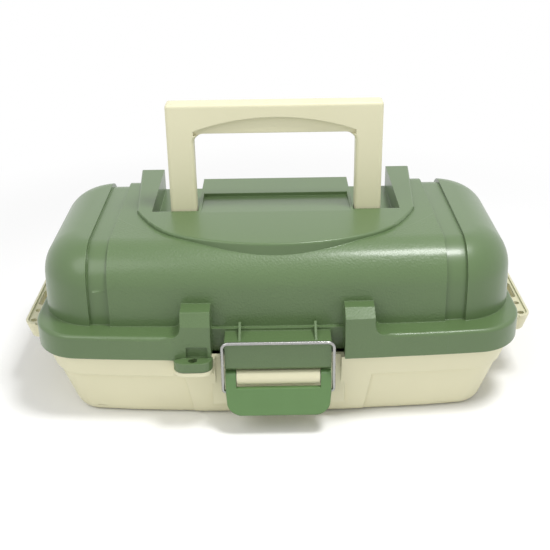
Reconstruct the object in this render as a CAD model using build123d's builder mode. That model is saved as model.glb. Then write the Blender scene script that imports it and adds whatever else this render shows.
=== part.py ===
"""Tackle box: a moulded tub and lid on a rear hinge, a draw latch, a carry handle that folds
back into the lid, and one tray that lifts and swings back as the lid opens.

Millimetres, +X to the right, +Y to the back, +Z up. The origin is on the ground, under the
middle of the case.
"""
import os

from build123d import *

# Case
case_length = 340.0
case_depth = 196.0
front_bow = 9.0
plan_corner = 36.0
wall = 2.6
overrun = 1.0
parting_gap = 0.3
pin_clearance = 0.05
side_clearance = 0.4

# Tub
tub_height = 50.0
tub_inset = 2.5
tub_lean = 9.0
tub_foot_round = 9.0
tub_inner_round = 6.0
tub_band_height = 15.5
tub_panel_step = 1.6
tub_apron_width = 126.0
tub_apron_lean = 5.5
tub_lip_height = 5.0
tub_lip_wall = 2.0

# Ears at the ends of the tub
ear_reach = 180.0
ear_length = 88.0
ear_corner = 8.0
ear_plate = 2.6
ear_skirt_depth = 11.0
ear_skirt_lean = 2.5
ear_skirt_wall = 1.8
ear_rim_height = 1.3
ear_rim_width = 1.6
ear_hole_radius = 2.4
ear_hole_line = 174.4
ear_hole_places = (-36.0, -21.0, 21.0, 36.0)
ear_slot_length = 24.0
ear_slot_width = 4.8

# Lid flange and dome
flange_height = 17.0
flange_round = 2.5
crown_height = 119.0
dome_length = 330.0
dome_depth = 161.0
dome_bow = 6.0
dome_corner = 44.0
dome_lean = 3.0
dome_crown_round = 28.0
skin_step = 2.2
panel_width = 224.0
band_width = 15.0
ceiling_drop = 3.6

# Platform around the handle, and the well that the folded handle lies in
platform_height = 121.5
platform_front_width = 194.0
platform_back_width = 212.0
platform_front = 70.0
platform_side_start = 30.0
platform_back = 82.0
platform_foot = 88.0
platform_round = 1.6
well_width = 176.0
well_front = 10.0
well_floor = 104.5
island_width = 110.0
island_back = 57.0
scoop_width = 106.0
scoop_back = 25.0
scoop_front = 13.0
scoop_depth = 2.8

# Carry handle, upright at rest
handle_width = 149.0
handle_leg = 18.5
handle_thickness = 14.0
handle_top = 198.0
handle_grip = 21.0
handle_pivot_y = -2.0
handle_pivot_z = 112.0
handle_inner_round = 7.0
handle_edge_round = 2.2
handle_arch_end = 2.0
handle_arch_rise = 9.5
handle_belly_step = 2.6
handle_pin_radius = 2.5
handle_pin_length = 20.0
handle_boss_radius = 5.5
handle_boss_length = 5.0

# Rear hinge
hinge_y = 103.5
hinge_z = 52.0
hinge_knuckle_radius = 4.5
hinge_pin_radius = 1.5
hinge_centres = (-95.0, 95.0)
hinge_lid_knuckle = 20.0
hinge_tub_knuckle = 10.0

# Latch
latch_bay_width = 88.0
latch_bay_back = 84.5
catch_width = 70.0
catch_front = 101.5
catch_plate = 3.0
catch_top = 65.0
catch_bottom = 44.0
catch_nose = 2.5
catch_ledge = 2.5
catch_rib_spacing = 50.0
catch_rib_width = 1.6
catch_rib_rise = 7.0
latch_pocket_width = 84.0
latch_pocket_back = 91.0
latch_pocket_floor = 12.0
latch_pocket_wall = 3.0
lever_pivot_y = -98.0
lever_pivot_z = 38.0
lever_knuckle_radius = 5.0
lever_pin_radius = 1.5
lever_width = 70.0
lever_arm = 7.0
lever_plate = 3.0
lever_bottom = 12.0
lever_window_bottom = 32.5
lever_flare = 6.5
lever_corner = 9.0
bail_wire_radius = 1.1
bail_pivot_drop = 8.5
bail_bend = 4.0
bail_hook = 3.5
bail_tight_share = 1.6
bail_bar_z = 65.6

# Buttresses beside the latch
buttress_width = 25.0
buttress_height = 84.0
buttress_foot = 8.0
buttress_chamfer = 4.5

# Padlock lugs
lug_x = -56.0
lug_width = 26.0
lug_reach = 105.0
lug_corner = 8.0
lug_top = 52.0
lug_bottom = 45.5
lug_hole_radius = 3.0
lug_hole_y = -100.0
lug_pocket_width = 18.0
lug_pocket_height = 8.0
lug_pocket_depth = 2.6
tub_lug_thickness = 5.5
tub_lug_gap = 0.4

# Tray, level at rest and carried by the lid and two arms
tray_length = 287.0
tray_front = -72.0
tray_back = 58.0
tray_bottom = 47.0
tray_top = 73.0
tray_wall = 2.0
tray_front_corner = 26.0
tray_back_corner = 26.0
tray_rib_wall = 1.8
tray_middle_y = -2.0
tray_ear_radius = 6.5
tray_ear_drop = 16.0
tray_ear_depth = 4.6
tray_pivot_y = 40.0
tray_pivot_z = 75.0
divider_wall = 1.6
divider_places = (-105.0, -63.0, -21.0, 21.0, 63.0, 105.0)
divider_drop = 3.0
divider_clearance = 0.3
divider_rib_reach = 3.0
divider_rib_width = 1.6

# Arms from the tub to the tray
arm_tray_y = -20.0
arm_tray_z = 56.0
arm_thickness = 2.5
arm_width = 11.0
arm_gap = 1.2
arm_pin_radius = 2.0
arm_pin_head_radius = 4.0
arm_pin_head = 1.3
arm_open_clearance = 0.3
arm_pin_length = 10.0
tray_pin_length = 16.0
boss_radius = 6.0

# Places worked out from the driving dimensions
lid_foot = tub_height + parting_gap
flange_top = tub_height + flange_height
dome_skin_length = dome_length + 2 * skin_step
dome_skin_depth = dome_depth + 2 * skin_step
lever_bail_y = -(catch_front + parting_gap + bail_wire_radius)
bail_pivot_z = lever_pivot_z - bail_pivot_drop
bail_leg_x = lever_width / 2 + side_clearance + bail_wire_radius
arm_tub_y = arm_tray_y + hinge_y - tray_pivot_y
arm_tub_z = arm_tray_z + hinge_z - tray_pivot_z
tray_inner = tray_length / 2 - tray_wall
arm_inner = tray_length / 2 + arm_gap
arm_outer = arm_inner + arm_thickness
far = case_length


def plan_outline(length, depth, bow, corner):
    """Plan of the case: straight ends and back, a front that bows outwards, rounded corners."""
    side, front, back = length / 2, -depth / 2, depth / 2
    with BuildSketch() as plan:
        with BuildLine():
            Polyline((side, front + bow), (side, back), (-side, back), (-side, front + bow))
            ThreePointArc((-side, front + bow), (0, front), (side, front + bow))
        make_face()
        fillet(plan.vertices(), radius=corner)
    return plan.sketch


def leaning_body(length, depth, bow, corner, z_wide, z_narrow, lean, edge_round):
    """Solid whose walls lean in from one level to another, rounded round its narrow face."""
    with BuildPart() as body:
        with BuildSketch(Plane.XY.offset(z_wide)):
            add(plan_outline(length, depth, bow, corner))
        with BuildSketch(Plane.XY.offset(z_narrow)):
            add(plan_outline(length - 2 * lean, depth - 2 * lean, bow, corner - lean))
        loft(ruled=True)
        levels = body.faces().sort_by(Axis.Z)
        narrow_face = levels[0] if z_narrow < z_wide else levels[-1]
        fillet(narrow_face.edges(), radius=edge_round)
    return body.part


def along_x(x_from, y, z):
    """Plane at a place on the X axis, facing +X, with its own x along Y and its y along Z."""
    return Plane(origin=(x_from, y, z), x_dir=(0, 1, 0), z_dir=(1, 0, 0))


def write_piece(piece, name):
    piece.part.label = name
    export_step(piece.part, f"parts/{name}.step")


os.makedirs("parts", exist_ok=True)

# Tub: a plain leaning body, a proud band and front apron over it, then the hollow
tub_length = case_length - 2 * tub_inset
tub_depth = case_depth - 2 * tub_inset
tub_skin_body = leaning_body(
    tub_length, tub_depth, front_bow, plan_corner, tub_height, 0, tub_lean, tub_foot_round)
tub_core_body = leaning_body(
    tub_length - 2 * tub_panel_step, tub_depth - 2 * tub_panel_step, front_bow,
    plan_corner - tub_panel_step, tub_height, 0, tub_lean, tub_foot_round - tub_panel_step)
hollow_step = tub_panel_step + wall
tub_hollow_body = leaning_body(
    tub_length - 2 * hollow_step, tub_depth - 2 * hollow_step, front_bow,
    plan_corner - hollow_step, tub_height, wall, tub_lean, tub_inner_round)

with BuildPart() as tub_skin:
    add(tub_skin_body)
    band_low = tub_height - tub_band_height
    with BuildSketch(Plane.XY.offset(band_low)):
        Rectangle(2 * far, 2 * far)
    extrude(amount=-2 * far, mode=Mode.SUBTRACT)

with BuildPart() as tub_apron:
    add(tub_skin_body)
    half_top, half_low = tub_apron_width / 2, tub_apron_width / 2 - tub_apron_lean
    with BuildSketch(Plane.XZ):
        with BuildLine():
            Polyline((-half_low, 0), (half_low, 0), (half_top, band_low), (half_top, tub_height),
                     (-half_top, tub_height), (-half_top, band_low), close=True)
        make_face()
    extrude(amount=far, mode=Mode.INTERSECT)

def ear_outline(reach, length, corner):
    """Both ears in one plan: a rounded rectangle that reaches out past the ends of the tub."""
    with BuildSketch() as plan:
        RectangleRounded(2 * reach, length, corner)
    return plan.sketch


with BuildPart() as ears:
    ear_low = tub_height - ear_skirt_depth
    with BuildSketch(Plane.XY.offset(tub_height)):
        add(ear_outline(ear_reach, ear_length, ear_corner))
    with BuildSketch(Plane.XY.offset(ear_low)):
        add(ear_outline(ear_reach - ear_skirt_lean, ear_length - 2 * ear_skirt_lean, ear_corner))
    loft(ruled=True)
    # Low rim round the edge, clear of the lid's flange
    with BuildSketch(Plane.XY.offset(tub_height)):
        add(ear_outline(ear_reach, ear_length, ear_corner))
        add(ear_outline(ear_reach - ear_rim_width, ear_length - 2 * ear_rim_width,
                        ear_corner - ear_rim_width), mode=Mode.SUBTRACT)
        Rectangle(case_length + 2 * ear_rim_width, ear_length, mode=Mode.SUBTRACT)
    extrude(amount=ear_rim_height)
    # Hollow under the plate, holes and slot through it
    with BuildSketch(Plane.XY.offset(tub_height - ear_plate)):
        add(ear_outline(ear_reach - ear_skirt_wall, ear_length - 2 * ear_skirt_wall,
                        ear_corner - ear_skirt_wall))
    with BuildSketch(Plane.XY.offset(ear_low)):
        skirt_inset = ear_skirt_wall + ear_skirt_lean
        add(ear_outline(ear_reach - skirt_inset, ear_length - 2 * skirt_inset, ear_corner - ear_skirt_wall))
    loft(ruled=True, mode=Mode.SUBTRACT)
    for side in (-1, 1):
        with BuildSketch(Plane.XY.offset(tub_height)):
            with Locations(*[(side * ear_hole_line, place) for place in ear_hole_places]):
                Circle(ear_hole_radius)
            with Locations((side * ear_hole_line, 0)):
                SlotOverall(ear_slot_length, ear_slot_width, rotation=90)
        extrude(amount=-ear_plate, mode=Mode.SUBTRACT)

with BuildPart() as base_tub:
    add(tub_core_body)
    add(tub_skin.part)
    add(tub_apron.part)
    add(ears.part)
    # Upstand inside the lid's flange
    lip_step = hollow_step - tub_lip_wall
    with BuildSketch(Plane.XY.offset(tub_height)):
        add(plan_outline(tub_length - 2 * lip_step, tub_depth - 2 * lip_step, front_bow,
                         plan_corner - lip_step))
    extrude(amount=tub_lip_height)
    add(tub_hollow_body, mode=Mode.SUBTRACT)
    with BuildSketch(Plane.XY.offset(tub_height)):
        add(plan_outline(tub_length - 2 * hollow_step, tub_depth - 2 * hollow_step, front_bow,
                         plan_corner - hollow_step))
        with Locations((0, -latch_pocket_back)):
            Rectangle(latch_bay_width + 2 * (wall + tub_lip_wall), tub_depth / 2)
    extrude(amount=tub_lip_height, mode=Mode.SUBTRACT)
    # Wall behind the latch pocket, then the pocket itself
    pocket_inner = latch_pocket_back - latch_pocket_wall
    with Locations((0, -pocket_inner, latch_pocket_floor)):
        Box(latch_pocket_width + 2 * wall, latch_pocket_wall, tub_height - latch_pocket_floor,
            align=(Align.CENTER, Align.MAX, Align.MIN))
    with Locations((0, -latch_pocket_back, latch_pocket_floor)):
        Box(latch_pocket_width, far, tub_height + tub_lip_height,
            align=(Align.CENTER, Align.MAX, Align.MIN), mode=Mode.SUBTRACT)
    # Knuckle that carries the latch lever
    knuckle_width = lever_width - 2 * lever_arm - 2 * side_clearance
    with BuildSketch(along_x(-knuckle_width / 2, lever_pivot_y, lever_pivot_z)):
        Circle(lever_knuckle_radius)
        Rectangle(-lever_pivot_y - pocket_inner, 2 * lever_knuckle_radius,
                  align=(Align.MIN, Align.CENTER))
        Circle(lever_pin_radius + pin_clearance, mode=Mode.SUBTRACT)
    extrude(amount=knuckle_width)
    # Padlock lug, just under the one on the lid
    tub_lug_top = lug_bottom - tub_lug_gap
    with BuildSketch(Plane.XY.offset(tub_lug_top - tub_lug_thickness)) as tub_lug:
        with Locations((lug_x, -lug_reach)):
            RectangleRounded(lug_width, 2 * lug_corner + overrun, lug_corner,
                             align=(Align.CENTER, Align.MIN))
        with Locations((lug_x, wall - tub_depth / 2)):
            Rectangle(lug_width, far, align=(Align.CENTER, Align.MIN), mode=Mode.SUBTRACT)
        with Locations((lug_x, lug_hole_y)):
            Circle(lug_hole_radius, mode=Mode.SUBTRACT)
    extrude(amount=tub_lug_thickness)
    # Hinge knuckles on short brackets off the back wall
    for centre in hinge_centres:
        for end in (-1, 1):
            middle = centre + end * (hinge_lid_knuckle + hinge_tub_knuckle) / 2
            width = hinge_tub_knuckle - 2 * side_clearance
            with BuildSketch(along_x(middle - width / 2, hinge_y, hinge_z)):
                Circle(hinge_knuckle_radius)
                with BuildLine():
                    Polyline((-hinge_knuckle_radius, tub_height - hinge_z - parting_gap),
                             (tub_depth / 2 - wall - hinge_y, tub_height - hinge_z - parting_gap),
                             (tub_depth / 2 - wall - hinge_y, -hinge_z + band_low),
                             (tub_depth / 2 - hinge_y, -hinge_z + band_low),
                             (hinge_knuckle_radius, 0), (0, 0), close=True)
                make_face()
                Circle(hinge_pin_radius + pin_clearance, mode=Mode.SUBTRACT)
            extrude(amount=width)
    # Bosses for the arm pins on the end walls
    arm_wall = tub_length / 2 - hollow_step - tub_lean * (1 - arm_tub_z / tub_height) + wall / 2
    for side in (-1, 1):
        with BuildSketch(along_x(side * (arm_outer + side_clearance), arm_tub_y, arm_tub_z)):
            Circle(boss_radius)
            Circle(arm_pin_radius + pin_clearance, mode=Mode.SUBTRACT)
        extrude(amount=side * (arm_wall - arm_outer))
write_piece(base_tub, "base_tub")


# Lid: a plain dome, proud panel and end blocks over it, flange, platform and buttresses
dome_core_body = leaning_body(
    dome_length, dome_depth, dome_bow, dome_corner, lid_foot, crown_height - skin_step, dome_lean,
    dome_crown_round)
dome_skin_body = leaning_body(
    dome_skin_length, dome_skin_depth, dome_bow, dome_corner, lid_foot, crown_height, dome_lean,
    dome_crown_round)
dome_hollow_body = leaning_body(
    dome_length - 2 * wall, dome_depth - 2 * wall, dome_bow, dome_corner - wall, lid_foot,
    crown_height - ceiling_drop, dome_lean, dome_crown_round - wall)


def well_outline(spare):
    """U-shaped plan of the handle well, grown by a spare margin: two slots joined at the back."""
    outer, inner = well_width / 2 + spare, island_width / 2 - spare
    front, back = -well_front - spare, island_back - spare
    with BuildSketch() as plan:
        with BuildLine():
            Polyline((-outer, front), (-inner, front), (-inner, back), (inner, back), (inner, front),
                     (outer, front), (outer, far), (-outer, far), close=True)
        make_face()
    return plan.sketch


with BuildPart() as dome_skin:
    add(dome_skin_body)
    for side in (-1, 1):
        with Locations((side * (panel_width + band_width) / 2, 0, 0)):
            Box(band_width, 2 * far, 2 * far, mode=Mode.SUBTRACT)

with BuildPart() as lid_hollow:
    add(dome_hollow_body)
    # Wider under the ledge of the flange
    with BuildSketch(Plane.XY.offset(lid_foot)):
        add(plan_outline(case_length - 2 * wall, case_depth - 2 * wall, front_bow, plan_corner - wall))
    extrude(amount=flange_height - parting_gap - wall)
    # Inside the buttresses
    buttress_x = (latch_bay_width + buttress_width) / 2
    for side in (-1, 1):
        with Locations((side * buttress_x, -case_depth / 2 + buttress_chamfer + wall, lid_foot)):
            Box(buttress_width - 2 * wall, case_depth / 4,
                buttress_height - lid_foot - wall - buttress_chamfer,
                align=(Align.CENTER, Align.MIN, Align.MIN))
    # Walls of the handle well and of the latch bay stay
    with BuildSketch(Plane.XY.offset(well_floor - wall)):
        add(well_outline(wall))
    extrude(amount=far, mode=Mode.SUBTRACT)
    with Locations((0, wall - latch_bay_back, 0)):
        Box(latch_bay_width + 2 * wall, far, flange_top, align=(Align.CENTER, Align.MAX, Align.MIN),
            mode=Mode.SUBTRACT)

with BuildPart() as lid_shell:
    add(dome_core_body)
    add(dome_skin.part)
    with BuildSketch(Plane.XY.offset(lid_foot)):
        add(plan_outline(case_length, case_depth, front_bow, plan_corner))
    extrude(amount=flange_height - parting_gap)
    ledge = lid_shell.faces().filter_by(Axis.Z).filter_by_position(
        Axis.Z, flange_top - parting_gap, flange_top + parting_gap).sort_by(SortBy.AREA)[-1]
    fillet(ledge.outer_wire().edges(), radius=flange_round)
    # Platform: rounded front, sides that spread towards the back
    front_half, back_half = platform_front_width / 2, platform_back_width / 2
    with BuildSketch(Plane.XY.offset(platform_foot)) as platform_plan:
        with BuildLine():
            ThreePointArc((-front_half, -platform_side_start), (0, -platform_front),
                          (front_half, -platform_side_start))
            Polyline((front_half, -platform_side_start), (back_half, platform_back),
                     (-back_half, platform_back), (-front_half, -platform_side_start))
        make_face()
    extrude(amount=platform_height - platform_foot)
    fillet(lid_shell.faces().sort_by(Axis.Z)[-1].edges(), radius=platform_round)
    # Buttresses: an S curve on the outer side, a chamfered brow
    for side in (-1, 1):
        inner_x = side * latch_bay_width / 2
        outer_x = inner_x + side * buttress_width
        foot_x = outer_x + side * buttress_foot
        with BuildSketch(Plane.XZ.offset(dome_depth / 2 - buttress_foot)):
            with BuildLine():
                Polyline((inner_x, lid_foot), (inner_x, buttress_height), (outer_x, buttress_height),
                         (outer_x, flange_top + buttress_foot))
                TangentArc((outer_x, flange_top + buttress_foot), (foot_x, flange_top),
                           tangent=(0, -1))
                Polyline((foot_x, flange_top), (foot_x, lid_foot), (inner_x, lid_foot))
            make_face()
        extrude(amount=(case_depth - dome_depth) / 2 + buttress_foot)
    brows = lid_shell.edges().filter_by(Axis.X).group_by(Axis.Y)[0].filter_by_position(
        Axis.Z, buttress_height - overrun, buttress_height + overrun)
    chamfer(brows, length=buttress_chamfer, length2=2 * buttress_chamfer)
    add(lid_hollow.part, mode=Mode.SUBTRACT)
    # Latch bay between the buttresses
    with Locations((0, -latch_bay_back, 0)):
        Box(latch_bay_width, far, flange_top + overrun, align=(Align.CENTER, Align.MAX, Align.MIN),
            mode=Mode.SUBTRACT)
    # Well for the folded handle
    with BuildSketch(Plane.XY.offset(well_floor)):
        add(well_outline(0))
    extrude(amount=far, mode=Mode.SUBTRACT)
    # Catch plate on its ledge, with two ribs
    with BuildSketch(along_x(-catch_width / 2, 0, 0)):
        with BuildLine():
            Polyline((-latch_bay_back, catch_top), (-catch_front, catch_top),
                     (-catch_front, catch_bottom + catch_nose), (catch_nose - catch_front, catch_bottom),
                     (catch_plate - catch_front, catch_bottom),
                     (catch_plate - catch_front, catch_top - catch_ledge),
                     (-latch_bay_back, catch_top - catch_ledge), close=True)
        make_face()
    extrude(amount=catch_width)
    for side in (-1, 1):
        with BuildSketch(Plane.YZ.offset(side * catch_rib_spacing / 2)):
            with BuildLine():
                Polyline((-latch_bay_back, catch_top), (-catch_front + catch_plate, catch_top),
                         (-latch_bay_back, catch_top + catch_rib_rise), close=True)
            make_face()
        extrude(amount=catch_rib_width / 2, both=True)
    # Padlock lug under the left buttress, with a pocket over it
    with BuildSketch(Plane.XY.offset(lug_bottom)):
        with Locations((lug_x, -lug_reach)):
            RectangleRounded(lug_width, 2 * lug_corner + overrun, lug_corner,
                             align=(Align.CENTER, Align.MIN))
        with Locations((lug_x, -tub_depth / 2 - side_clearance)):
            Rectangle(lug_width, far, align=(Align.CENTER, Align.MIN), mode=Mode.SUBTRACT)
    extrude(amount=lug_top - lug_bottom)
    with Locations((lug_x, lug_pocket_depth - case_depth / 2, lug_top)):
        Box(lug_pocket_width, far, lug_pocket_height, align=(Align.CENTER, Align.MAX, Align.MIN),
            mode=Mode.SUBTRACT)
    with Locations((lug_x, lug_hole_y, lug_bottom)):
        Cylinder(lug_hole_radius, lug_top - lug_bottom, align=(Align.CENTER, Align.CENTER, Align.MIN),
                 mode=Mode.SUBTRACT)
    # Bosses inside the island for the handle pins
    for side in (-1, 1):
        boss_face = island_width / 2 - wall - handle_boss_length
        with BuildSketch(along_x(side * boss_face, handle_pivot_y, handle_pivot_z)):
            Circle(handle_boss_radius)
        extrude(amount=side * (handle_boss_length + wall / 2))
        with BuildSketch(along_x(side * boss_face, handle_pivot_y, handle_pivot_z)):
            Circle(handle_pin_radius + pin_clearance)
        extrude(amount=side * (handle_boss_length + 2 * wall), mode=Mode.SUBTRACT)
    # Bosses on the end walls for the tray pins
    for side in (-1, 1):
        boss_face = tray_length / 2 + side_clearance
        with BuildSketch(along_x(side * boss_face, tray_pivot_y, tray_pivot_z)):
            Circle(boss_radius)
            Circle(arm_pin_radius + pin_clearance, mode=Mode.SUBTRACT)
        extrude(amount=side * (dome_length / 2 - wall / 2 - boss_face))
    # Hinge knuckles on short brackets off the flange
    for centre in hinge_centres:
        width = hinge_lid_knuckle - 2 * side_clearance
        with BuildSketch(along_x(centre - width / 2, hinge_y, hinge_z)):
            Circle(hinge_knuckle_radius)
            with BuildLine():
                Polyline((0, 0), (hinge_knuckle_radius, 0), (case_depth / 2 - hinge_y, flange_top - hinge_z - wall),
                         (case_depth / 2 - wall - hinge_y, flange_top - hinge_z - wall),
                         (case_depth / 2 - wall - hinge_y, 0), close=True)
            make_face()
            Circle(hinge_pin_radius + pin_clearance, mode=Mode.SUBTRACT)
        extrude(amount=width)
    # Shallow ramp let into the island, with a step at its back
    with BuildSketch(Plane.YZ.offset(-scoop_width / 2)):
        with BuildLine():
            Polyline((-scoop_front, platform_height), (scoop_back, platform_height - scoop_depth),
                     (scoop_back, platform_height + overrun), (-scoop_front, platform_height + overrun),
                     close=True)
        make_face()
    extrude(amount=scoop_width, mode=Mode.SUBTRACT)
write_piece(lid_shell, "lid_shell")


# Carry handle: a U with a waisted grip, on two pins in the walls of the island
with BuildPart() as carry_handle:
    leg_outer, leg_inner = handle_width / 2, handle_width / 2 - handle_leg
    grip_low = handle_top - handle_grip
    half_thick = handle_thickness / 2
    with BuildSketch(Plane.XZ.offset(-handle_pivot_y)) as handle_face:
        with Locations((0, handle_pivot_z)):
            Rectangle(handle_width, handle_top - handle_pivot_z, align=(Align.CENTER, Align.MIN))
        fillet(handle_face.vertices().group_by(Axis.Y)[-1], radius=handle_edge_round)
        with Locations((0, handle_pivot_z)):
            Rectangle(2 * leg_inner, grip_low - handle_pivot_z, align=(Align.CENTER, Align.MIN),
                      mode=Mode.SUBTRACT)
        inner_corners = handle_face.vertices().filter_by_position(
            Axis.Y, grip_low - overrun, grip_low + overrun)
        fillet(inner_corners, radius=handle_inner_round)
    extrude(amount=half_thick, both=True)
    # Round feet about the pivot
    for side in (-1, 1):
        foot_x = leg_inner if side > 0 else -leg_outer
        with BuildSketch(along_x(foot_x, handle_pivot_y, handle_pivot_z)):
            Circle(half_thick)
        extrude(amount=handle_leg)
    long_edges = carry_handle.faces().filter_by(Axis.Y).edges()
    fillet(long_edges, radius=handle_edge_round)
    # Grip set back under an arch on both faces
    for face in (-1, 1):
        with BuildSketch(Plane.XZ.offset(-handle_pivot_y - face * half_thick)):
            with BuildLine():
                ThreePointArc((-leg_inner, grip_low + handle_arch_end),
                              (0, grip_low + handle_arch_end + handle_arch_rise),
                              (leg_inner, grip_low + handle_arch_end))
                Polyline((leg_inner, grip_low + handle_arch_end), (leg_inner, grip_low - overrun),
                         (-leg_inner, grip_low - overrun), (-leg_inner, grip_low + handle_arch_end))
            make_face()
        extrude(amount=face * handle_belly_step, mode=Mode.SUBTRACT)
    # Blind holes for the pins
    for side in (-1, 1):
        with BuildSketch(along_x(side * leg_inner, handle_pivot_y, handle_pivot_z)):
            Circle(handle_pin_radius + pin_clearance)
        extrude(amount=side * (handle_leg - wall), mode=Mode.SUBTRACT)
write_piece(carry_handle, "carry_handle")

for side, name in ((-1, "handle_pin_left"), (1, "handle_pin_right")):
    with BuildPart() as handle_pin:
        pin_inner = island_width / 2 - wall - handle_boss_length
        with BuildSketch(along_x(side * pin_inner, handle_pivot_y, handle_pivot_z)):
            Circle(handle_pin_radius)
        extrude(amount=side * handle_pin_length)
    write_piece(handle_pin, name)

# Hinge pins
for centre, name in zip(hinge_centres, ("hinge_pin_left", "hinge_pin_right")):
    with BuildPart() as hinge_pin:
        pin_length = hinge_lid_knuckle + 2 * hinge_tub_knuckle
        with BuildSketch(along_x(centre - pin_length / 2, hinge_y, hinge_z)):
            Circle(hinge_pin_radius)
        extrude(amount=pin_length)
    write_piece(hinge_pin, name)

# Latch lever: two arms beside a window, and a plate that flares out to a rounded lip
with BuildPart() as latch_lever:
    arm_x = lever_width / 2
    eye = lever_knuckle_radius
    lip_y = lever_bail_y - lever_flare
    with BuildSketch(along_x(-arm_x, 0, 0)):
        with Locations((lever_pivot_y, lever_pivot_z)):
            Circle(eye)
        with BuildLine():
            Polyline((lever_pivot_y - eye, lever_pivot_z),
                     (lip_y - lever_plate / 2, lever_bottom), (lip_y + lever_plate / 2, lever_bottom),
                     (lever_bail_y + lever_plate, bail_pivot_z - lever_plate),
                     (lever_pivot_y + eye, lever_pivot_z), close=True)
        make_face()
        with Locations((lever_pivot_y, lever_pivot_z)):
            Circle(lever_pin_radius + pin_clearance, mode=Mode.SUBTRACT)
    extrude(amount=lever_width)
    # Window between the arms, and the hollow behind the plate
    window_width = lever_width - 2 * lever_arm
    with BuildSketch(Plane.XZ):
        with Locations((0, lever_window_bottom)):
            Rectangle(window_width, far, align=(Align.CENTER, Align.MIN))
    extrude(amount=far, mode=Mode.SUBTRACT)
    with BuildSketch(along_x(-window_width / 2, 0, 0)):
        with BuildLine():
            Polyline((lever_pivot_y - eye + lever_plate, lever_pivot_z),
                     (lip_y + lever_plate / 2, lever_bottom), (lever_pivot_y + 2 * eye, lever_bottom),
                     (lever_pivot_y + 2 * eye, lever_pivot_z), close=True)
        make_face()
    extrude(amount=window_width, mode=Mode.SUBTRACT)
    # Rounded lower corners
    with BuildSketch(Plane.XZ) as lever_front:
        with Locations((0, lever_bottom)):
            Rectangle(lever_width, lever_pivot_z + 2 * eye - lever_bottom, align=(Align.CENTER, Align.MIN))
        fillet(lever_front.vertices().group_by(Axis.Y)[0], radius=lever_corner)
    extrude(amount=far, mode=Mode.INTERSECT)
    # Holes for the ends of the bail
    for side in (-1, 1):
        with BuildSketch(along_x(side * arm_x, lever_bail_y, bail_pivot_z)):
            Circle(bail_wire_radius + pin_clearance)
        extrude(amount=-side * (bail_hook + side_clearance), mode=Mode.SUBTRACT)
write_piece(latch_lever, "latch_lever")

with BuildPart() as latch_hinge_pin:
    with BuildSketch(along_x(-lever_width / 2, lever_pivot_y, lever_pivot_z)):
        Circle(lever_pin_radius)
    extrude(amount=lever_width)
write_piece(latch_hinge_pin, "latch_hinge_pin")

# Bail: bent wire hooked into the sides of the lever, its bar across the catch
with BuildPart() as latch_bail:
    hook_x = lever_width / 2 - bail_hook
    with BuildLine(Plane.XZ.offset(-lever_bail_y)) as bail_path:
        FilletPolyline((-hook_x, bail_pivot_z), (-bail_leg_x, bail_pivot_z), (-bail_leg_x, bail_bar_z),
                       (bail_leg_x, bail_bar_z), (bail_leg_x, bail_pivot_z), (hook_x, bail_pivot_z),
                       radius=[bail_wire_radius * bail_tight_share, bail_bend, bail_bend,
                               bail_wire_radius * bail_tight_share])
    with BuildSketch(Plane(origin=bail_path.line @ 0, z_dir=bail_path.line % 0)):
        Circle(bail_wire_radius)
    sweep()
write_piece(latch_bail, "latch_bail")

# Tray: open bins either side of a lengthwise wall, ribs that hold the removable dividers
tray_depth = tray_back - tray_front
tray_centre_y = (tray_back + tray_front) / 2
tray_height = tray_top - tray_bottom
front_bin_back = tray_middle_y - tray_rib_wall / 2


def tray_outline(inset):
    """Plan of the tray set in from its outside, rounder at the front to suit the lid's corners."""
    with BuildSketch() as plan:
        with Locations((0, tray_centre_y)):
            Rectangle(tray_length - 2 * inset, tray_depth - 2 * inset)
        rows = plan.vertices().group_by(Axis.Y)
        fillet(rows[0], radius=tray_front_corner - inset)
        rows = plan.vertices().group_by(Axis.Y)
        fillet(rows[-1], radius=tray_back_corner - inset)
    return plan.sketch


with BuildPart() as tray_shell:
    with BuildSketch(Plane.XY.offset(tray_bottom)):
        add(tray_outline(0))
    extrude(amount=tray_height)
    with BuildSketch(Plane.XY.offset(tray_bottom + tray_wall)):
        add(tray_outline(tray_wall))
    extrude(amount=tray_height, mode=Mode.SUBTRACT)
    with Locations((0, tray_middle_y, tray_bottom)):
        Box(tray_length - tray_wall, tray_rib_wall, tray_height - divider_drop,
            align=(Align.CENTER, Align.CENTER, Align.MIN))
    # Ears on the end walls, over the pins in the lid
    for side in (-1, 1):
        with BuildSketch(along_x(side * tray_length / 2, tray_pivot_y, tray_pivot_z)):
            Circle(tray_ear_radius)
            Rectangle(2 * tray_ear_radius, tray_ear_drop, align=(Align.CENTER, Align.MAX))
            Circle(arm_pin_radius + pin_clearance, mode=Mode.SUBTRACT)
        extrude(amount=-side * tray_ear_depth)
        with BuildSketch(along_x(side * tray_length / 2, arm_tray_y, arm_tray_z)):
            Circle(arm_pin_radius + pin_clearance)
        extrude(amount=-side * tray_wall, mode=Mode.SUBTRACT)
    # Pairs of ribs on the front wall and the lengthwise wall
    rib_offset = (divider_wall + divider_rib_width) / 2 + divider_clearance
    rib_height = tray_height - tray_wall - divider_drop
    for place in divider_places:
        for end in (-1, 1):
            with Locations((place + end * rib_offset, tray_front + tray_wall, tray_bottom + tray_wall)):
                Box(divider_rib_width, divider_rib_reach, rib_height,
                    align=(Align.CENTER, Align.MIN, Align.MIN))
            with Locations((place + end * rib_offset, front_bin_back, tray_bottom + tray_wall)):
                Box(divider_rib_width, divider_rib_reach, rib_height,
                    align=(Align.CENTER, Align.MAX, Align.MIN))
write_piece(tray_shell, "tray_shell")

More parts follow.
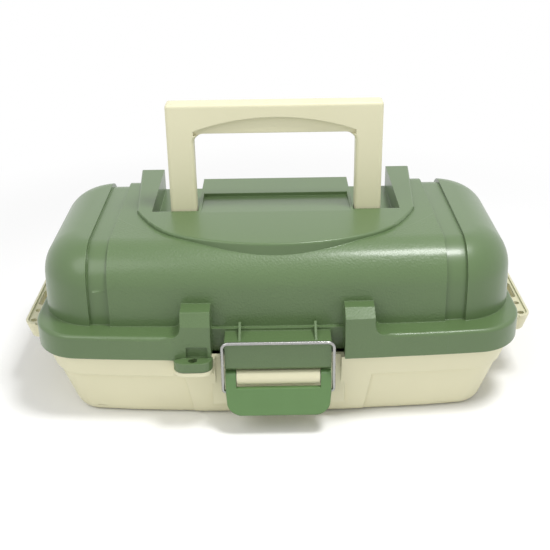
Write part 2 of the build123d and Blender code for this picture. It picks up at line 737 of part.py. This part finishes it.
divider_front = tray_front + tray_wall + divider_clearance
for number, place in enumerate(divider_places, start=1):
    with BuildPart() as tray_divider:
        with Locations((place, divider_front, tray_bottom + tray_wall)):
            Box(divider_wall, front_bin_back - divider_clearance - divider_front, rib_height,
                align=(Align.CENTER, Align.MIN, Align.MIN))
    write_piece(tray_divider, f"tray_divider_{number}")

# Arms from the tub to the tray, and the rivets they turn on
arm_middle = ((arm_tub_y + arm_tray_y) / 2, (arm_tub_z + arm_tray_z) / 2)


def write_rivet(x_face, way, length, y, z, name):
    """Rivet along X: the shank runs from a face one way, and the head lies on the other side."""
    with BuildPart() as rivet:
        with BuildSketch(along_x(x_face, y, z)):
            Circle(arm_pin_radius)
        extrude(amount=way * length)
        with BuildSketch(along_x(x_face, y, z)):
            Circle(arm_pin_head_radius)
        extrude(amount=-way * arm_pin_head)
    write_piece(rivet, name)


for side, hand in ((-1, "left"), (1, "right")):
    with BuildPart() as link_arm:
        with BuildSketch(along_x(side * arm_inner, 0, 0)):
            SlotCenterPoint(arm_middle, (arm_tray_y, arm_tray_z), arm_width)
            with Locations((arm_tub_y, arm_tub_z)):
                Circle(arm_pin_radius + pin_clearance, mode=Mode.SUBTRACT)
            with Locations((arm_tray_y, arm_tray_z)):
                Circle(arm_pin_radius + arm_open_clearance, mode=Mode.SUBTRACT)
        extrude(amount=side * arm_thickness)
    write_piece(link_arm, f"link_arm_{hand}")
    write_rivet(side * (arm_inner - parting_gap), side, arm_pin_length, arm_tub_y, arm_tub_z,
                f"arm_tub_rivet_{hand}")
    write_rivet(side * (arm_outer + parting_gap), -side, arm_outer + parting_gap - tray_inner,
                arm_tray_y, arm_tray_z, f"arm_tray_rivet_{hand}")
    write_rivet(side * (tray_length / 2 - tray_ear_depth - parting_gap), side, tray_pin_length,
                tray_pivot_y, tray_pivot_z, f"tray_lid_rivet_{hand}")
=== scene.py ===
# %% [markdown]
# # A moulded tackle box
# The box is two big mouldings, a beige tub and a green lid, with a beige handle, a green latch
# lever and a bent steel wire. The frame already holds every piece at its real size, so this
# lesson adds finishes, softens four mouldings and builds a studio. We load the frame first.

# %% Load the frame
import math

import bmesh
import bpy
from mathutils import Matrix, Vector


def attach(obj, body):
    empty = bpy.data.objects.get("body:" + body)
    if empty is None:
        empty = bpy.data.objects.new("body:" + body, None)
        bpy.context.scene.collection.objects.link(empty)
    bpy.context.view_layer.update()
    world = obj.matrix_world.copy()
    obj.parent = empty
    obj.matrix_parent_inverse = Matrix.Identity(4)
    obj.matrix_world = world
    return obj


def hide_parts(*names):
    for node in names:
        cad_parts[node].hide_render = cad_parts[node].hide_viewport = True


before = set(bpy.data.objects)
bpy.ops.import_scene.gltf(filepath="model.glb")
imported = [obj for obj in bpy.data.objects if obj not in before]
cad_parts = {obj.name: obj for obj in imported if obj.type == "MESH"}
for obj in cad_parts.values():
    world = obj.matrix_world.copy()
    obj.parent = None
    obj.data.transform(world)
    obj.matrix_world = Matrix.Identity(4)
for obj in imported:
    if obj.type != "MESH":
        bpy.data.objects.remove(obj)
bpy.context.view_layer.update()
MM = 0.001

# %% [markdown]
# ## Shader maths as Python
# A finish is easier to read as a sum than as a web of nodes. A small class wraps one socket,
# and each operator on it adds the Math node that does that sum. A second class looks after a
# tree of nodes: one method of it makes any other node from its type, its settings and its
# inputs. A finish is such a tree with a material, a shader and the point being coloured.

# %% Signals, node trees and finishes
class Signal:
    """One number that changes over a surface."""

    def __init__(self, work, socket):
        self.work = work
        self.socket = socket

    def math(self, operation, *values):
        node = self.work.node("ShaderNodeMath", {"operation": operation})
        for socket, value in zip(node.inputs, values):
            self.work.feed(socket, value)
        return Signal(self.work, node.outputs[0])

    def __add__(self, other):
        return self.math("ADD", self, other)

    def __radd__(self, other):
        return self.math("ADD", other, self)

    def __sub__(self, other):
        return self.math("SUBTRACT", self, other)

    def __rsub__(self, other):
        return self.math("SUBTRACT", other, self)

    def __mul__(self, other):
        return self.math("MULTIPLY", self, other)

    def __rmul__(self, other):
        return self.math("MULTIPLY", other, self)

    def __pow__(self, other):
        return self.math("POWER", self, other)

    def __abs__(self):
        return self.math("ABSOLUTE", self)

    def step(self, low, high):
        """0 below low, 1 above high, smooth between."""
        node = self.work.node(
            "ShaderNodeMapRange", {"interpolation_type": "SMOOTHSTEP"},
            {"Value": self, "From Min": low, "From Max": high})
        return Signal(self.work, node.outputs[0])


class NodeWork:
    """A tree of nodes under work."""

    def __init__(self, tree):
        self.tree = tree
        self.tree.nodes.clear()

    def feed(self, socket, value):
        value = value.socket if isinstance(value, Signal) else value
        if isinstance(value, bpy.types.NodeSocket):
            self.tree.links.new(value, socket)
        else:
            socket.default_value = value

    def node(self, kind, settings=None, inputs=None):
        node = self.tree.nodes.new(kind)
        for name, value in (settings or {}).items():
            setattr(node, name, value)
        for name, value in (inputs or {}).items():
            self.feed(node.inputs[name], value)
        return node


class Finish(NodeWork):
    """A material under work: its nodes, its shader and the point that is being coloured."""

    def __init__(self, name):
        self.material = bpy.data.materials.new(name)
        self.material.use_nodes = True
        super().__init__(self.material.node_tree)
        self.shader = self.node("ShaderNodeBsdfPrincipled")
        self.output = self.node("ShaderNodeOutputMaterial",
                                inputs={"Surface": self.shader.outputs["BSDF"]})
        self.place = self.node("ShaderNodeTexCoord").outputs["Object"]
        self.soft_normal = None
        split = self.node("ShaderNodeSeparateXYZ", inputs={"Vector": self.place})
        self.x, self.y, self.z = [Signal(self, socket) for socket in split.outputs]

    def noise(self, size, detail=2.0, stretch=(1.0, 1.0, 1.0)):
        """Soft cloud from 0 to 1, whose lumps are about this many metres across."""
        scaled = self.node("ShaderNodeVectorMath", {"operation": "MULTIPLY"},
                           {0: self.place, 1: stretch})
        cloud = self.node("ShaderNodeTexNoise", {},
                          {"Vector": scaled.outputs[0], "Scale": 1 / size, "Detail": detail})
        return Signal(self, cloud.outputs[0])

    def cells(self, size):
        """Distance into rounded cells about this many metres across."""
        grain = self.node("ShaderNodeTexVoronoi", {"feature": "SMOOTH_F1"},
                          {"Vector": self.place, "Scale": 1 / size})
        return Signal(self, grain.outputs["Distance"])

    def blend(self, amount, first, second):
        """Colour between two colours."""
        mix = self.node("ShaderNodeMix", {"data_type": "RGBA"},
                        {"Factor": amount, 6: first, 7: second})
        return mix.outputs[2]

    def rounded_edges(self, radius):
        """Softens sharp edges in the shading; gives 1 on an edge, where finishes paint a
        highlight, 0 elsewhere.
        """
        rounding = self.node("ShaderNodeBevel", {"samples": 6}, {"Radius": radius})
        self.soft_normal = rounding.outputs["Normal"]
        flat = self.node("ShaderNodeNewGeometry").outputs["Normal"]
        likeness = self.node("ShaderNodeVectorMath", {"operation": "DOT_PRODUCT"},
                             {0: self.soft_normal, 1: flat})
        return (1 - Signal(self, likeness.outputs["Value"])).step(0.01, 0.2)

    def relief(self, height, depth):
        """Raises and lowers the shading by a height from 0 to 1, this deep in metres."""
        bump = self.node("ShaderNodeBump", {},
                         {"Height": height, "Distance": depth, "Strength": 1.0})
        if self.soft_normal:
            self.feed(bump.inputs["Normal"], self.soft_normal)
        self.feed(self.shader.inputs["Normal"], bump.outputs["Normal"])

    def set(self, **inputs):
        for name, value in inputs.items():
            self.feed(self.shader.inputs[name.replace("_", " ")], value)


def linear(red, green, blue):
    """Screen colour, 0 to 255, turned into the light values that a shader takes."""
    def channel(value):
        share = value / 255
        return share / 12.92 if share <= 0.04045 else ((share + 0.055) / 1.055) ** 2.4
    return (channel(red), channel(green), channel(blue), 1.0)


def wear(nodes, finish):
    """Gives frame nodes their finish."""
    for name in nodes:
        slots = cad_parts[name].data.materials
        slots.clear()
        slots.append(finish.material)
    print(finish.material.name, "on", len(nodes), "nodes")


print("finish tools ready")

# %% [markdown]
# ## The green lid
# The lid is polypropylene from a grained mould: the wide middle panel has a fine leather grain,
# while the two bands beside it, the end blocks and the handle's platform are almost smooth. One
# material can do it all. The grain fades by how far a point lies from the middle of the box,
# and inside the circle that the platform's curved front belongs to.

# %% Green lid finish
EDGE_ROUND = 0.9 * MM
PANEL_HALF = 112 * MM
PANEL_FADE = 0.5 * MM
GRAIN_SIZE = 1.3 * MM
GRAIN_DEPTH = 0.2 * MM
PLATFORM_FRONT = -70 * MM
PLATFORM_HALF = 97 * MM
PLATFORM_RISE = 40 * MM
PLATFORM_FADE = 1.5 * MM
LID_DARK = linear(84, 108, 66)
LID_LIGHT = linear(92, 117, 73)
# Lighter green painted along the edges as a highlight.
LID_EDGE_HIGHLIGHT = linear(140, 164, 120)
platform_radius = (PLATFORM_HALF ** 2 + PLATFORM_RISE ** 2) / (2 * PLATFORM_RISE)
platform_middle = PLATFORM_FRONT + platform_radius

lid_finish = Finish("green_grained_plastic")
lid_edge_highlight = lid_finish.rounded_edges(EDGE_ROUND)
on_panel = 1 - abs(lid_finish.x).step(PANEL_HALF - PANEL_FADE, PANEL_HALF + PANEL_FADE)
platform_reach = (lid_finish.x ** 2 + (lid_finish.y - platform_middle) ** 2) ** 0.5
off_platform = platform_reach.step(platform_radius, platform_radius + PLATFORM_FADE)
grain = lid_finish.cells(GRAIN_SIZE) + 0.5 * lid_finish.noise(0.6 * GRAIN_SIZE)
skin = lid_finish.noise(0.5 * MM)
lid_shade = lid_finish.noise(60 * MM, 4.0)
lid_colour = lid_finish.blend(lid_shade, LID_DARK, LID_LIGHT)
# Painted highlight: the edges are blended a quarter of the way to the lighter green.
lid_colour = lid_finish.blend(0.25 * lid_edge_highlight, lid_colour, LID_EDGE_HIGHLIGHT)
lid_finish.set(Base_Color=lid_colour, Roughness=0.36 + 0.06 * on_panel + 0.06 * lid_shade,
               IOR=1.5, Coat_Weight=0.4, Coat_Roughness=0.2)
lid_finish.relief(on_panel * off_platform * grain + 0.1 * skin, GRAIN_DEPTH)
print(lid_finish.material.name, "waits for the lid's softer copy")

# %% [markdown]
# ## The beige mouldings
# Tub and handle share one beige plastic with a satin skin. Moulded plastic is never one flat
# colour: it clouds a little, and scuffs lower its gloss in places. The tray and its arms are
# duller, since their mould wasn't polished.

# %% Beige finish
BEIGE_DARK = linear(217, 213, 180)
BEIGE_LIGHT = linear(225, 221, 189)
# Lighter beige painted along the edges as a highlight.
BEIGE_EDGE_HIGHLIGHT = linear(240, 238, 214)
BEIGE_IOR = 1.47

beige = Finish("beige_satin_plastic")
beige_cloud = beige.noise(45 * MM, 4.0)
beige_scuff = beige.noise(6 * MM, 5.0, (1.0, 1.0, 0.3)).step(0.55, 0.75)
beige_edge_highlight = beige.rounded_edges(EDGE_ROUND)
beige_colour = beige.blend(beige_cloud, BEIGE_DARK, BEIGE_LIGHT)
# Painted highlight: the edges are blended 30 percent of the way to the lighter beige.
beige_colour = beige.blend(0.3 * beige_edge_highlight, beige_colour, BEIGE_EDGE_HIGHLIGHT)
beige.set(Base_Color=beige_colour, Roughness=0.4 + 0.1 * beige_scuff + 0.05 * beige_cloud,
          IOR=BEIGE_IOR)
beige.relief(beige.noise(0.8 * MM), 0.02 * MM)
wear(["carry_handle"], beige)

# %% Tray finish
TRAY_DARK = linear(212, 208, 176)
TRAY_LIGHT = linear(220, 216, 185)

tray_finish = Finish("tray_plastic")
tray_cloud = tray_finish.noise(30 * MM, 4.0)
tray_finish.rounded_edges(EDGE_ROUND)
tray_finish.set(Base_Color=tray_finish.blend(tray_cloud, TRAY_DARK, TRAY_LIGHT),
                Roughness=0.48 + 0.08 * tray_cloud, IOR=BEIGE_IOR)
tray_finish.relief(tray_finish.noise(1.2 * MM), 0.03 * MM)
dividers = [f"tray_divider_{number}" for number in range(1, 7)]
wear(["link_arm_left", "link_arm_right", *dividers], tray_finish)

# %% [markdown]
# ## The latch lever
# The lever comes from another mould and a livelier green. Fingers polish it between fine
# scratches that run across.

# %% Lever finish
LEVER_DARK = linear(89, 122, 72)
LEVER_LIGHT = linear(96, 130, 79)
# Lighter green painted along the edges as a highlight.
LEVER_EDGE_HIGHLIGHT = linear(142, 176, 124)

lever_finish = Finish("lever_green_plastic")
lever_cloud = lever_finish.noise(18 * MM, 4.0)
scratches = lever_finish.noise(0.5 * MM, 2.0, (0.05, 1.0, 1.0)).step(0.62, 0.72)
lever_edge_highlight = lever_finish.rounded_edges(EDGE_ROUND)
lever_colour = lever_finish.blend(lever_cloud, LEVER_DARK, LEVER_LIGHT)
# Painted highlight: the edges are blended 30 percent of the way to the lighter green.
lever_colour = lever_finish.blend(0.3 * lever_edge_highlight, lever_colour, LEVER_EDGE_HIGHLIGHT)
lever_finish.set(Base_Color=lever_colour, Roughness=0.36 + 0.12 * scratches, IOR=1.5)
lever_finish.relief(lever_finish.noise(0.9 * MM), 0.02 * MM)
print(lever_finish.material.name, "waits for the lever's softer copy")

# %% [markdown]
# ## Steel
# The bail is drawn wire, and the pins and rivets are plain zinc-plated steel.

# %% Steel finish
STEEL_GREY = linear(168, 168, 166)

steel = Finish("bright_steel")
draw_lines = steel.noise(0.25 * MM, 2.0, (1.0, 1.0, 0.08))
steel.set(Base_Color=STEEL_GREY, Metallic=1.0, Roughness=0.2 + 0.14 * draw_lines)
steel.relief(draw_lines, 0.006 * MM)
pins = ["latch_bail", "latch_hinge_pin"]
for hand in ("left", "right"):
    pins += [f"{kind}_{hand}" for kind in
             ("hinge_pin", "handle_pin", "arm_tub_rivet", "arm_tray_rivet", "tray_lid_rivet")]
wear(pins, steel)

# %% [markdown]
# ## Softer mouldings
# The photograph shows the ends of the box leaning in more, the platform's corners rounder and
# the lever shorter than in the frame. So a copy of each moulding is merged into one skin, its
# points are moved, and the copy stands in for the frame's node. Merging would also smooth the
# creases, so an edge stays sharp wherever the frame's own shading breaks across it.

# %% Merge, move and replace
MERGE_DISTANCE = 0.002 * MM
CREASE = 0.998


def merged_copy(source):
    """One skin from a CAD mesh, with creases kept where the CAD's own shading breaks."""
    form = bmesh.new()
    form.from_mesh(source)
    shading = form.loops.layers.float_vector.new("cad_normal")
    for face, polygon in zip(form.faces, source.polygons):
        face.smooth = True
        for loop, corner in zip(face.loops, polygon.loop_indices):
            loop[shading] = source.corner_normals[corner].vector
    bmesh.ops.remove_doubles(form, verts=form.verts, dist=MERGE_DISTANCE)
    for edge in form.edges:
        if len(edge.link_loops) == 2:
            here, there = edge.link_loops
            start = here[shading].dot(there.link_loop_next[shading])
            end = here.link_loop_next[shading].dot(there[shading])
            edge.smooth = min(start, end) > CREASE
    return form


def remould(node, body, finish, move):
    """Stands a copy of a CAD node in for it, with each point where move puts it."""
    form = merged_copy(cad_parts[node].data)
    for vert in form.verts:
        vert.co = Vector(move(*(vert.co / MM))) * MM
    mesh = bpy.data.meshes.new(f"soft_{node}")
    form.to_mesh(mesh)
    form.free()
    mesh.materials.append(finish.material)
    piece = bpy.data.objects.new(f"soft_{node}", mesh)
    bpy.context.scene.collection.objects.link(piece)
    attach(piece, body)
    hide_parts(node)
    print(piece.name, len(mesh.vertices), "points")


def ramp(value, low, high):
    """0 at low, 1 at high, straight between; low may be the greater."""
    return min(1.0, max(0.0, (value - low) / (high - low)))


print("remoulding tools ready")

# %% [markdown]
# Each rule below takes a point in millimetres and says where it goes. Reach is how far the
# point lies from the middle of the box, left or right. Rivets stay where the frame has them,
# so the inner face of a pivot boss is left alone.

# %% Lid and tub rules
LID_END = 170.0
LID_DRAWN_IN = 5.0
PANEL_EDGE = PANEL_HALF / MM
BOSS_REACH = 150.0
BOSS_HALF = 7.0
TRAY_ON_LID = (40.0, 75.0)
ARM_ON_TUB = (43.5, 33.0)
ARM_ON_TRAY = (-20.0, 56.0)

BUTTRESS_INNER = 44.0
BUTTRESS_OUTER = 77.5
FLANGE_MEETS = 76.5
BUTTRESS_FRONT, BUTTRESS_BACK = -98.3, -76.0
BUTTRESS_FACE = -97.5
BUTTRESS_LOW, BUTTRESS_HIGH = 50.0, 85.0
BUTTRESS_WIDTH_SHARE = 0.78
BUTTRESS_PROUD = 0.3
FRONT_BOW = 9.0

PLATFORM_LOW = 90.0
PLATFORM_SIDE = 98.5
PLATFORM_BAND = 3.5
CORNER_START = 60.0
CORNER_BACK = 24.0
CORNER_OUT = 1.9

TUB_HEIGHT = 50.0
TUB_FLANK = 100.0
WALL_TOP = 167.5
WALL_LEAN = 9.0
WALL_THICKNESS = 2.6
EAR_LOW = 38.0
EAR_ROOT = 171.0
LUG_FRONT = -99.0
LUG_LEFT, LUG_RIGHT = -70.0, -42.0
LUG_LOW, LUG_TOP, LUG_HIGH = 39.0, 45.1, 45.2
LUG_SHARE = 0.55


def on_boss(reach, y, z, pivot):
    """True on the inner face of a pivot boss, which has to stay against its rivet."""
    pivot_y, pivot_z = pivot
    return (reach < BOSS_REACH and abs(y - pivot_y) < BOSS_HALF
            and abs(z - pivot_z) < BOSS_HALF)


def softer_lid(x, y, z):
    """Draws the ends in, narrows the buttresses and turns the platform's front corners."""
    reach = abs(x)
    if reach > PANEL_EDGE and not on_boss(reach, y, z, TRAY_ON_LID):
        reach -= LID_DRAWN_IN * ramp(reach, PANEL_EDGE, LID_END)
    on_face = y < BUTTRESS_FACE
    outer = BUTTRESS_OUTER if on_face else FLANGE_MEETS
    if (BUTTRESS_FRONT < y < BUTTRESS_BACK and BUTTRESS_LOW < z < BUTTRESS_HIGH
            and BUTTRESS_INNER < reach < outer):
        reach = BUTTRESS_INNER + BUTTRESS_WIDTH_SHARE * (reach - BUTTRESS_INNER)
        if on_face:
            y += FRONT_BOW * (reach / LID_END) ** 2 - BUTTRESS_PROUD
    off_arc = math.hypot(x, y - platform_middle / MM) - platform_radius / MM
    if z > PLATFORM_LOW and reach < PLATFORM_SIDE and abs(off_arc) < PLATFORM_BAND:
        turn = ramp(reach, CORNER_START, PLATFORM_HALF / MM) ** 3
        y += CORNER_BACK * turn
        reach += CORNER_OUT * turn
    return math.copysign(reach, x), y, z


def softer_tub(x, y, z):
    """Leans the ends in under the lid, keeps the ears' tips, and thins the padlock lug."""
    reach = abs(x)
    lean = WALL_LEAN * (1 - min(z, TUB_HEIGHT) / TUB_HEIGHT)
    wall = WALL_TOP - lean
    if not on_boss(reach, y, z, ARM_ON_TUB):
        share = ramp(reach, TUB_FLANK, wall - WALL_THICKNESS)
        if z > EAR_LOW and reach > wall:
            share = ramp(reach, EAR_ROOT, wall)
        reach -= (LID_DRAWN_IN + lean) * share
    if y < LUG_FRONT and LUG_LOW < z < LUG_HIGH and LUG_LEFT < x < LUG_RIGHT:
        z = LUG_TOP - LUG_SHARE * (LUG_TOP - z)
    return math.copysign(reach, x), y, z


remould("lid_shell", "lid", lid_finish, softer_lid)
remould("base_tub", "tub", beige, softer_tub)

# %% Tray and lever rules
TRAY_FLANK = 112.0
TRAY_END = 143.5
TRAY_DRAWN_IN = 4.0

LEVER_BOTTOM = 12.0
LEVER_BEND = 27.0
LEVER_LIFT = 3.5
LEVER_NARROWING = 0.07
WINDOW_HALF = 27.9
WINDOW_BOTTOM = 32.5
WINDOW_LIFT = 1.5
KNUCKLE_BOTTOM = 33.0


def softer_tray(x, y, z):
    """Lets the tray's ends follow the lid's, as the drawn-in lid leaves it less room."""
    reach = abs(x)
    if not (on_boss(reach, y, z, TRAY_ON_LID) or on_boss(reach, y, z, ARM_ON_TRAY)):
        reach -= TRAY_DRAWN_IN * ramp(reach, TRAY_FLANK, TRAY_END)
    return math.copysign(reach, x), y, z


def softer_lever(x, y, z):
    """Shortens and narrows the plate, and lifts the window's lower edge between the arms."""
    low = ramp(z, LEVER_BEND, LEVER_BOTTOM)
    lift = LEVER_LIFT * low
    if abs(x) < WINDOW_HALF and z < KNUCKLE_BOTTOM:
        lift = max(lift, WINDOW_LIFT * ramp(z, LEVER_BEND, WINDOW_BOTTOM))
    return x * (1 - LEVER_NARROWING * low), y, z + lift


remould("tray_shell", "tray", tray_finish, softer_tray)
remould("latch_lever", "lever", lever_finish, softer_lever)

# %% [markdown]
# ## The studio
# The photograph is cut out on white. A pale floor keeps the shadow near the box and fades into
# glowing white further off. The sky is white too, but it lights the box with only part of
# that, so that the lamps can model it: the camera, mirrors and glass see it in full.

# %% Floor
FLOOR_HALF = 6.0
FLOOR_NEAR = 0.3
FLOOR_FAR = 0.55
FLOOR_GREY = (0.93, 0.93, 0.93, 1.0)
WHITE = (1.0, 1.0, 1.0, 1.0)

floor_mesh = bpy.data.meshes.new("studio_floor")
floor_form = bmesh.new()
bmesh.ops.create_grid(floor_form, x_segments=8, y_segments=8, size=FLOOR_HALF)
floor_form.to_mesh(floor_mesh)
floor_form.free()
floor = bpy.data.objects.new("studio_floor", floor_mesh)
bpy.context.scene.collection.objects.link(floor)
floor_finish = Finish("pale_floor")
floor_finish.set(Base_Color=FLOOR_GREY, Roughness=0.9)
away = (floor_finish.x ** 2 + floor_finish.y ** 2) ** 0.5
glow = floor_finish.node("ShaderNodeEmission", {}, {"Color": WHITE, "Strength": 1.0})
floor_mix = floor_finish.node("ShaderNodeMixShader", {}, {
    0: away.step(FLOOR_NEAR, FLOOR_FAR),
    1: floor_finish.shader.outputs["BSDF"],
    2: glow.outputs["Emission"]})
floor_finish.feed(floor_finish.output.inputs["Surface"], floor_mix.outputs["Shader"])
floor_mesh.materials.append(floor_finish.material)
print("floor fades from", FLOOR_NEAR, "to", FLOOR_FAR, "m")

# %% Sky and lamps
SKY_LIGHT = 0.55

world = bpy.data.worlds.new("studio_sky")
bpy.context.scene.world = world
world.use_nodes = True
sky = NodeWork(world.node_tree)
ray = sky.node("ShaderNodeLightPath")
seen = Signal(sky, ray.outputs["Is Camera Ray"])
for kind in ("Is Glossy Ray", "Is Transmission Ray"):
    seen = seen.math("MAXIMUM", seen, ray.outputs[kind])
backdrop = sky.node("ShaderNodeBackground", {}, {
    "Color": WHITE, "Strength": SKY_LIGHT + (1 - SKY_LIGHT) * seen})
sky.node("ShaderNodeOutputWorld", {}, {"Surface": backdrop.outputs["Background"]})


def soft_lamp(name, place, aim, size, power):
    """A round lamp that faces the point it is aimed at."""
    lamp = bpy.data.lights.new(name, "AREA")
    lamp.shape = "DISK"
    lamp.size = size
    lamp.energy = power
    body = bpy.data.objects.new(name, lamp)
    body.location = place
    body.rotation_euler = (Vector(aim) - Vector(place)).to_track_quat("-Z", "Y").to_euler()
    bpy.context.scene.collection.objects.link(body)
    print(name, power, "W")


soft_lamp("key_lamp", place=(0.3, -0.22, 1.1), aim=(0.05, 0, 0.06), size=0.3, power=7.6)
soft_lamp("fill_lamp", place=(-0.6, -0.6, 0.9), aim=(0, 0, 0.06), size=0.8, power=3.4)

# %% [markdown]
# ## The camera
# The camera stands where the photograph was taken from. Its lens, place and tilt come from the
# photograph's vanishing points, and a small shift puts the box where the picture has it.

# %% Camera
FRAME_PIXELS = 550
FOCAL_PIXELS = 940.0
SHIFT_PIXELS = (-1.8, 1.5)
SENSOR = 36.0
CAMERA_PLACE = (0.0, -0.632, 0.367)
CAMERA_PITCH = 25.6
CAMERA_ROLL = -0.9

camera_data = bpy.data.cameras.new("camera")
camera_data.sensor_width = SENSOR
camera_data.lens = SENSOR * FOCAL_PIXELS / FRAME_PIXELS
camera_data.shift_x, camera_data.shift_y = [pixels / FRAME_PIXELS for pixels in SHIFT_PIXELS]
camera = bpy.data.objects.new("camera", camera_data)
camera.location = CAMERA_PLACE
tilt = Matrix.Rotation(math.radians(90 - CAMERA_PITCH), 4, "X")
roll = Matrix.Rotation(math.radians(CAMERA_ROLL), 4, "Z")
camera.rotation_euler = (tilt @ roll).to_euler()
bpy.context.scene.collection.objects.link(camera)
bpy.context.scene.camera = camera
bpy.context.scene.view_settings.view_transform = "Standard"
print("lens", round(camera_data.lens, 1), "mm")
